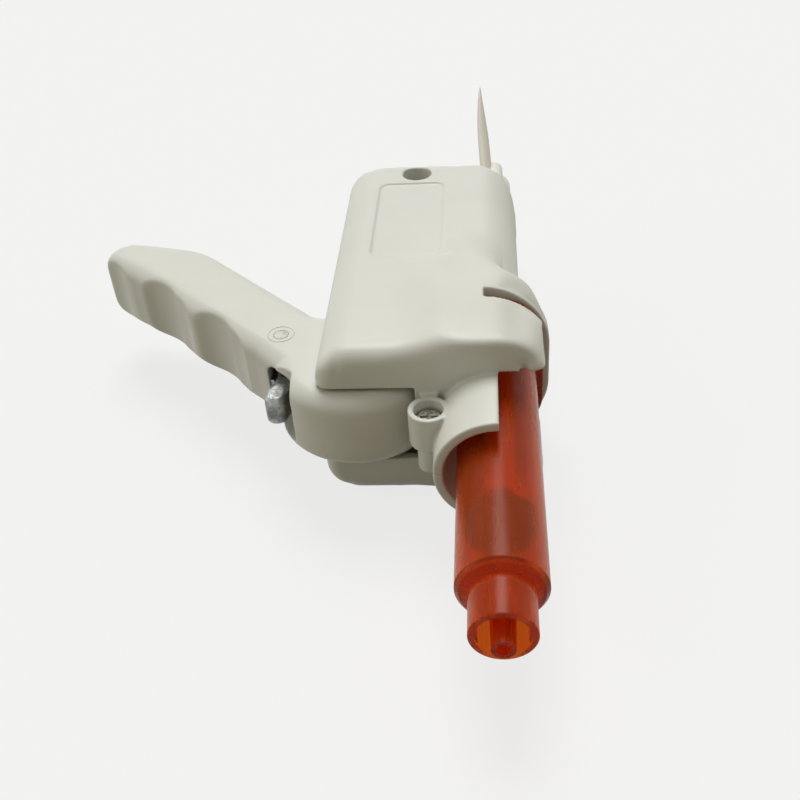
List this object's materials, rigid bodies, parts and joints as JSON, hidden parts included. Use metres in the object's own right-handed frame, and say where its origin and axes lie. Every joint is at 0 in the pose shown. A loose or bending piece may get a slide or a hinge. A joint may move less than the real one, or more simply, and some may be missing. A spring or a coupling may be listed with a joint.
{
  "type": "syringe pump",
  "caption": "Hand-operated syringe pump: a squeeze lever in a split housing drives a plunger rod into a side-loaded Luer-lock syringe barrel.",
  "frame": {"origin": "centre of the open end of the Luer tip, on the syringe barrel's axis", "axes": "+Y runs back along the syringe barrel and plunger rod, +X towards the side the syringe loads from, +Z towards the housing half with the deep screw hole"},
  "size_m": [0.1045, 0.1692, 0.0414],
  "materials": {
    "housing_plastic": "fine matt moulded",
    "lever_plastic": "fine matt moulded",
    "barrel_plastic": "clear amber, polished",
    "rod_plastic": "smooth",
    "carriage_plastic": "smooth",
    "bush_plastic": "smooth",
    "piston_rubber": "matt",
    "latch_zinc": "die-cast, tumbled",
    "screw_steel": "plated",
    "pin_steel": "ground",
    "spring_steel": "drawn"
  },
  "bodies": {
    "housing": {"upper_shell": "housing_plastic", "lower_shell": "housing_plastic", "front_shell_screw": "screw_steel", "rear_shell_screw": "screw_steel", "syringe_barrel": "barrel_plastic", "front_guide_bush": "bush_plastic", "rear_guide_bush": "bush_plastic", "lever_axle": "pin_steel", "ratchet_sector": "pin_steel", "axle_washer_upper": "bush_plastic", "axle_washer_lower": "bush_plastic", "return_spring": "spring_steel", "holding_pawl_pin": "pin_steel", "holding_pawl_spring": "spring_steel"},
    "lever": {"squeeze_lever": "lever_plastic", "hub_bush_upper": "bush_plastic", "hub_bush_lower": "bush_plastic", "yoke_pin": "pin_steel", "latch_pin": "pin_steel", "latch_spring": "spring_steel"},
    "latch": {"latch_lever": "latch_zinc"},
    "carriage": {"carriage": "carriage_plastic", "drive_pawl_pin": "pin_steel", "drive_pawl_spring": "spring_steel"},
    "drive_pawl": {"drive_pawl": "pin_steel"},
    "holding_pawl": {"holding_pawl": "pin_steel"},
    "piston": {"rubber_piston": "piston_rubber", "piston_holder": "bush_plastic"},
    "rod": {"plunger_rod": "rod_plastic", "rod_stop_ring": "piston_rubber", "pull_handle": "rod_plastic", "pull_handle_screw": "screw_steel"}
  },
  "joints": [
    {"name": "lever_squeeze", "type": "hinge", "parent": "housing", "child": "lever", "pos_m": [-0.0285, 0.068, 0], "axis": [0, 0, 1], "range_deg": [-32, 0], "stiffness_Nm_per_rad": 0.4, "springref_deg": 20.05},
    {"name": "carriage_slide", "type": "slide", "parent": "housing", "child": "carriage", "axis": [0, -1, 0], "range_m": [0, 0.0067]},
    {"name": "drive_pawl_lift", "type": "hinge", "parent": "carriage", "child": "drive_pawl", "pos_m": [-0.0095, 0.098, 0], "axis": [0, 0, 1], "range_deg": [-10, 0], "stiffness_Nm_per_rad": 0.002, "springref_deg": 11.46, "deforming": ["drive_pawl_spring"]},
    {"name": "holding_pawl_lift", "type": "hinge", "parent": "housing", "child": "holding_pawl", "pos_m": [-0.0095, 0.118, 0], "axis": [0, 0, 1], "range_deg": [-10, 0], "stiffness_Nm_per_rad": 0.002, "springref_deg": 11.46, "deforming": ["holding_pawl_spring"]},
    {"name": "latch_tilt", "type": "hinge", "parent": "lever", "child": "latch", "pos_m": [-0.045, 0.075, 0], "axis": [0, 0, 1], "range_deg": [-5, 0], "stiffness_Nm_per_rad": 0.01, "springref_deg": 17.19, "deforming": ["latch_spring"]},
    {"name": "piston_slide", "type": "slide", "parent": "housing", "child": "piston", "axis": [0, 1, 0], "range_m": [-0.006, 0.0495]},
    {"name": "rod_turn", "type": "hinge", "parent": "piston", "child": "rod", "pos_m": [0, 0.15, 0], "axis": [0, 1, 0], "range_deg": [0, 90]}
  ],
  "couplings": [
    {"joint": "carriage_slide", "follows": "lever_squeeze", "m_per_rad": -0.011844}
  ]
}
